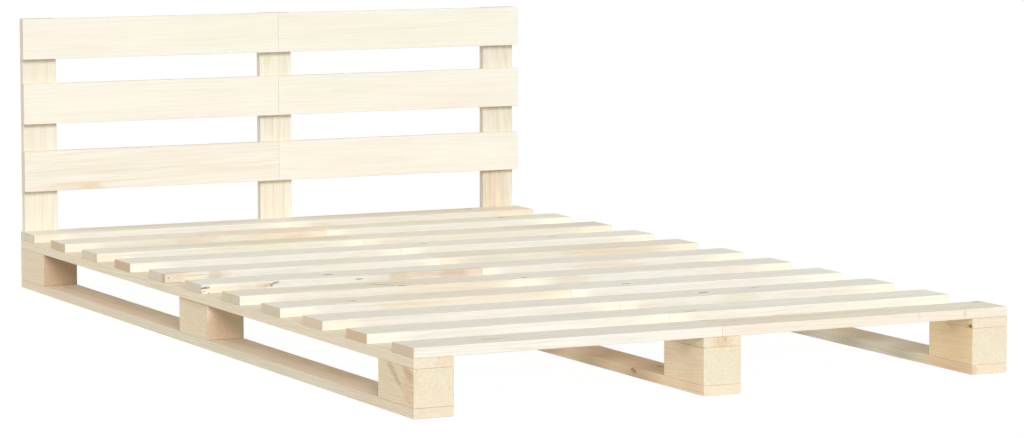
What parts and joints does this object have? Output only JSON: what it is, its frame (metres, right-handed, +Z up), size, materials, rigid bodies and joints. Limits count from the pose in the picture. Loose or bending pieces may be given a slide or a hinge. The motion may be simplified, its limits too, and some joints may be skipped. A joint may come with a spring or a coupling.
{
  "type": "pallet bed",
  "caption": "Low pallet-style bed frame in bare pine: a slatted deck on stringers, blocks and skids, with a boarded headboard on posts at the head end.",
  "frame": {"origin": "on the floor, at the centre of the bed's footprint (the headboard's posts included)", "axes": "+Z up, +Y towards the head end and its wall, +X to the right as seen from the foot end"},
  "size_m": [1.2, 2.0184, 0.5809],
  "materials": {
    "slat_pine": "planed and unfinished",
    "stringer_pine": "planed and unfinished",
    "block_pine": "sawn and unfinished",
    "skid_pine": "planed and unfinished",
    "headboard_pine": "planed and unfinished",
    "post_pine": "planed and unfinished",
    "zinc_steel": "zinc plated"
  },
  "bodies": {
    "root": {"skid_left": "skid_pine", "skid_centre": "skid_pine", "skid_right": "skid_pine", "block_head_left": "block_pine", "block_head_centre": "block_pine", "block_head_right": "block_pine", "block_middle_left": "block_pine", "block_middle_centre": "block_pine", "block_middle_right": "block_pine", "block_foot_left": "block_pine", "block_foot_centre": "block_pine", "block_foot_right": "block_pine", "stringer_left": "stringer_pine", "stringer_centre": "stringer_pine", "stringer_right": "stringer_pine", "slat_01_left": "slat_pine", "slat_01_right": "slat_pine", "slat_02_left": "slat_pine", "slat_02_right": "slat_pine", "slat_03_left": "slat_pine", "slat_03_right": "slat_pine", "slat_04_left": "slat_pine", "slat_04_right": "slat_pine", "slat_05_left": "slat_pine", "slat_05_right": "slat_pine", "slat_06_left": "slat_pine", "slat_06_right": "slat_pine", "slat_07_left": "slat_pine", "slat_07_right": "slat_pine", "slat_08_left": "slat_pine", "slat_08_right": "slat_pine", "slat_09_left": "slat_pine", "slat_09_right": "slat_pine", "slat_10_left": "slat_pine", "slat_10_right": "slat_pine", "slat_11_left": "slat_pine", "slat_11_right": "slat_pine", "post_left": "post_pine", "post_centre": "post_pine", "post_right": "post_pine", "headboard_low_left": "headboard_pine", "headboard_low_right": "headboard_pine", "headboard_middle_left": "headboard_pine", "headboard_middle_right": "headboard_pine", "headboard_top_left": "headboard_pine", "headboard_top_right": "headboard_pine", "bolt_left_lower": "zinc_steel", "bolt_left_upper": "zinc_steel", "bolt_centre_lower": "zinc_steel", "bolt_centre_upper": "zinc_steel", "bolt_right_lower": "zinc_steel", "bolt_right_upper": "zinc_steel", "barrel_nut_left_lower": "zinc_steel", "barrel_nut_left_upper": "zinc_steel", "barrel_nut_centre_lower": "zinc_steel", "barrel_nut_centre_upper": "zinc_steel", "barrel_nut_right_lower": "zinc_steel", "barrel_nut_right_upper": "zinc_steel"}
  },
  "joints": []
}
